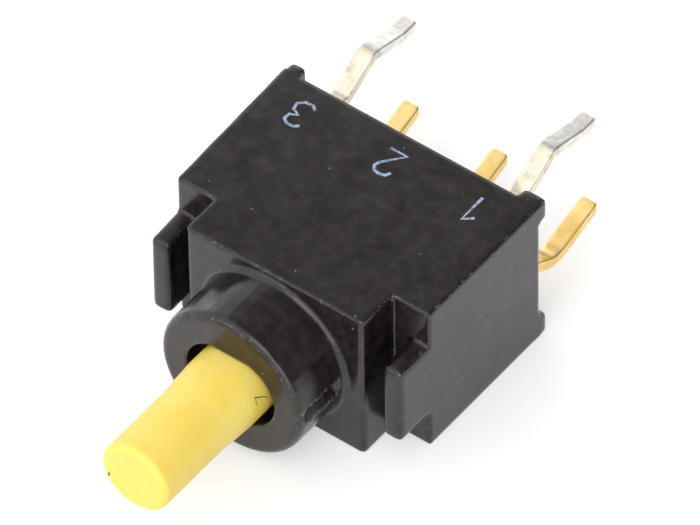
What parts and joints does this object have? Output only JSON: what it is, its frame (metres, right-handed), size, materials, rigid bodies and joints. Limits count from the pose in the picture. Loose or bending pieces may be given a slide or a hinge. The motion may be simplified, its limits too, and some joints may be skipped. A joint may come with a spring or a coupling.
{
  "type": "subminiature toggle switch",
  "caption": "Small black circuit board toggle switch with a yellow round lever in a round collar, gold pin terminals and kinked tinned support legs.",
  "frame": {"origin": "middle of the circuit board's surface that the four feet rest on, at half the height of the body", "axes": "+X along the row of terminals, +Y towards the circuit board, so the lever points along -Y, +Z out of the plain upper side of the body"},
  "size_m": [0.0072, 0.0138, 0.0044],
  "materials": {
    "black_nylon": "moulded satin black",
    "yellow_nylon": "moulded satin yellow",
    "steel": "bright drawn",
    "black_base": "moulded matt black",
    "seal_rubber": "smooth",
    "cream_nylon": "moulded",
    "gold_plate": "gold plated, satin",
    "tinned_steel": "tinned, bright with soft marks",
    "black_resin": "poured and cured"
  },
  "bodies": {
    "frame": {"housing": "black_nylon", "pivot_pin": "steel", "pin_retainer": "black_base", "seal_ring": "seal_rubber", "fixed_contact_left": "gold_plate", "fixed_contact_right": "gold_plate", "terminal_left": "gold_plate", "terminal_common": "gold_plate", "terminal_right": "gold_plate", "base_block": "black_base", "support_bracket": "tinned_steel", "resin_seal": "black_resin"},
    "lever": {"lever": "yellow_nylon", "plunger_spring": "steel"},
    "plunger": {"plunger": "cream_nylon"},
    "rocker": {"rocker_contact": "gold_plate"}
  },
  "joints": [
    {"name": "lever_rock", "type": "hinge", "parent": "frame", "child": "lever", "pos_m": [0, -0.00575, 0], "axis": [0, 0, 1], "range_deg": [-8.5, 8.5]},
    {"name": "plunger_slide", "type": "slide", "parent": "lever", "child": "plunger", "axis": [0, -1, 0], "range_m": [0, 0.00012], "stiffness_N_per_m": 200, "springref_m": -0.001, "deforming": ["plunger_spring"]},
    {"name": "rocker_tilt", "type": "hinge", "parent": "frame", "child": "rocker", "pos_m": [0, -0.00211, 0], "axis": [0, 0, 1], "range_deg": [-4.26, 4.26]}
  ],
  "couplings": [
    {"joint": "rocker_tilt", "follows": "lever_rock", "ratio": -0.5}
  ]
}
